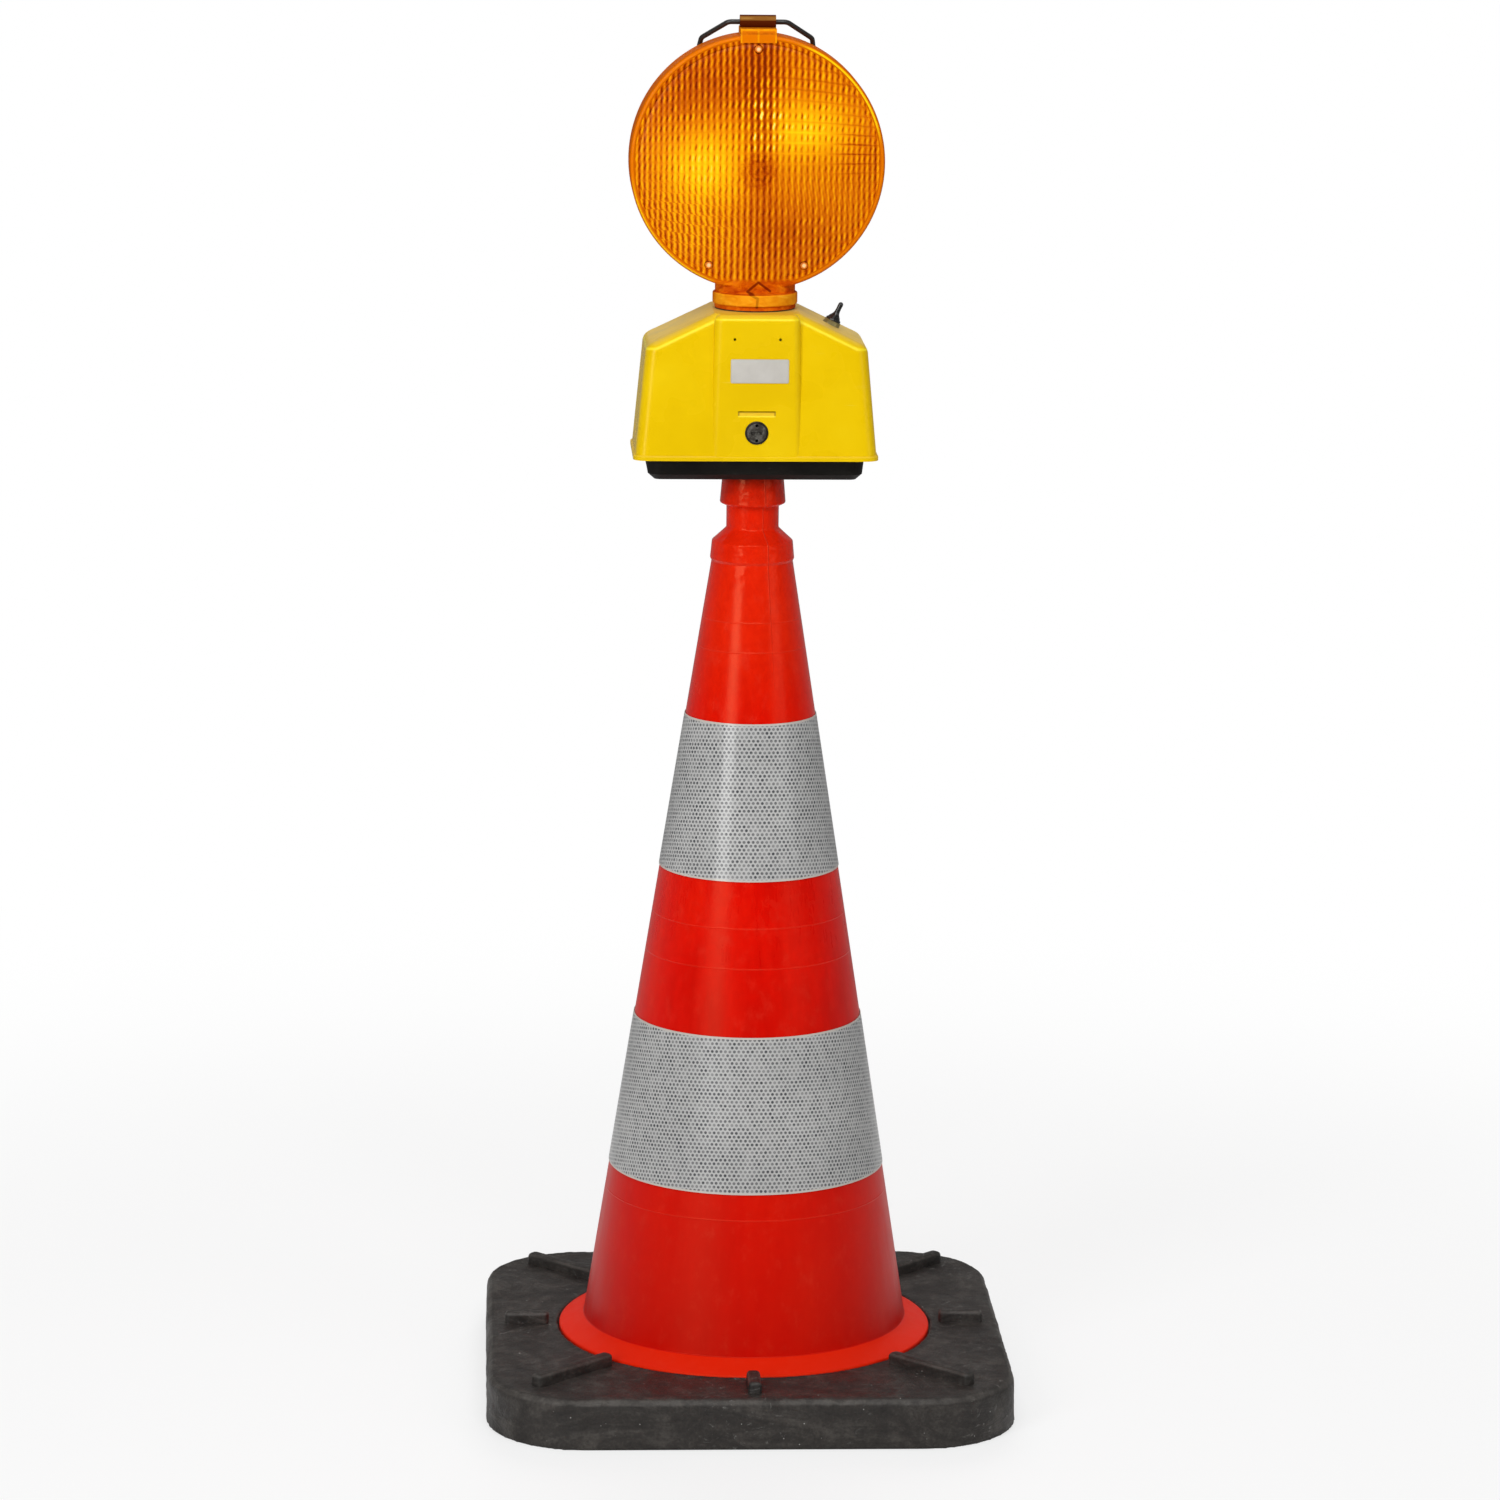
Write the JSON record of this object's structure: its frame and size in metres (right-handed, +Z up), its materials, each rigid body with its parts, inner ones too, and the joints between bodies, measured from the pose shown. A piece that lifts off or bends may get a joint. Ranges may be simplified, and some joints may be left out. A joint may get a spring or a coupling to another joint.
{
  "type": "traffic cone with warning light",
  "caption": "Hollow road cone on a square rubber base with reflective bands and a plug-in battery warning light that has a swivelling round amber lens and a wire bail.",
  "frame": {"origin": "on the floor under the middle of the square base", "axes": "+Z up along the cone's axis, -Y towards the side with the lock, +X towards the switch"},
  "size_m": [0.4268, 0.4268, 1.1153],
  "materials": {
    "base_rubber": "recycled rubber, matt, worn",
    "cone_red": "satin moulded plastic",
    "band_sheet": "retroreflective sheet",
    "tray_black": "satin moulded plastic",
    "hood_yellow": "glossy moulded plastic",
    "lens_amber": "clear amber moulding",
    "reflector_silver": "metallised plastic",
    "bail_black": "black coated wire",
    "boot_rubber": "soft rubber",
    "gasket_rubber": "soft rubber",
    "steel": "zinc plated",
    "lock_black": "black moulded plastic",
    "spigot_grey": "black plastic tube",
    "battery_wrap": "plain wrap",
    "brass": "bright",
    "board_green": "circuit board",
    "led_clear": "clear epoxy",
    "holder_black": "moulded plastic",
    "lead_red": "wire insulation",
    "pad_foam": "cellular rubber"
  },
  "bodies": {
    "cone": {"base_plate": "base_rubber", "cone_shell": "cone_red", "reflective_band_lower": "band_sheet", "reflective_band_upper": "band_sheet"},
    "lamp_base": {"tray": "tray_black", "tray_gasket": "gasket_rubber", "spigot_tube": "spigot_grey", "spigot_screws": "steel", "battery_pads": "pad_foam", "battery_left": "battery_wrap", "battery_right": "battery_wrap", "battery_terminals": "brass", "lock_keeper": "steel"},
    "hood": {"hood_shell": "hood_yellow", "contact_board": "board_green", "contact_strips": "brass", "board_screws": "steel", "board_plug": "holder_black", "lock_nut": "steel", "switch_body": "holder_black", "switch_washer": "steel", "switch_nut": "steel", "boot_skirt": "boot_rubber", "neck_seal": "gasket_rubber"},
    "head": {"lens_front": "lens_amber", "lens_rear": "lens_amber", "lens_gasket": "gasket_rubber", "lens_screws": "steel", "neck_retainer": "lock_black", "neck_disc": "holder_black", "lamp_board": "board_green", "led_holders": "holder_black", "leds": "led_clear", "reflector_front": "reflector_silver", "reflector_rear": "reflector_silver", "lamp_leads": "lead_red"},
    "bail": {"bail": "bail_black"},
    "switch": {"switch_lever": "steel", "boot_sleeve": "boot_rubber"},
    "lock": {"lock_barrel": "lock_black", "lock_cam": "steel", "cam_screw": "steel"}
  },
  "joints": [
    {"name": "lamp_lift", "type": "slide", "parent": "cone", "child": "lamp_base", "axis": [0, 0, 1], "range_m": [0, 0.15]},
    {"name": "hood_lift", "type": "slide", "parent": "lamp_base", "child": "hood", "axis": [0, 0, 1], "range_m": [0, 0.13]},
    {"name": "head_swivel", "type": "hinge", "parent": "hood", "child": "head", "pos_m": [0, 0, 0.883], "axis": [0, 0, 1], "range_deg": [-90, 90]},
    {"name": "bail_swing", "type": "hinge", "parent": "head", "child": "bail", "pos_m": [0, 0, 1.1097], "axis": [1, 0, 0], "range_deg": [0, 264.6]},
    {"name": "switch_throw", "type": "hinge", "parent": "hood", "child": "switch", "pos_m": [0.0624, 0, 0.87261], "axis": [0.9011, 0, -0.4337], "range_deg": [-12, 12]},
    {"name": "lock_turn", "type": "hinge", "parent": "hood", "child": "lock", "pos_m": [0, -0.0531, 0.7896], "axis": [0, -1, 0], "range_deg": [0, 90]}
  ]
}
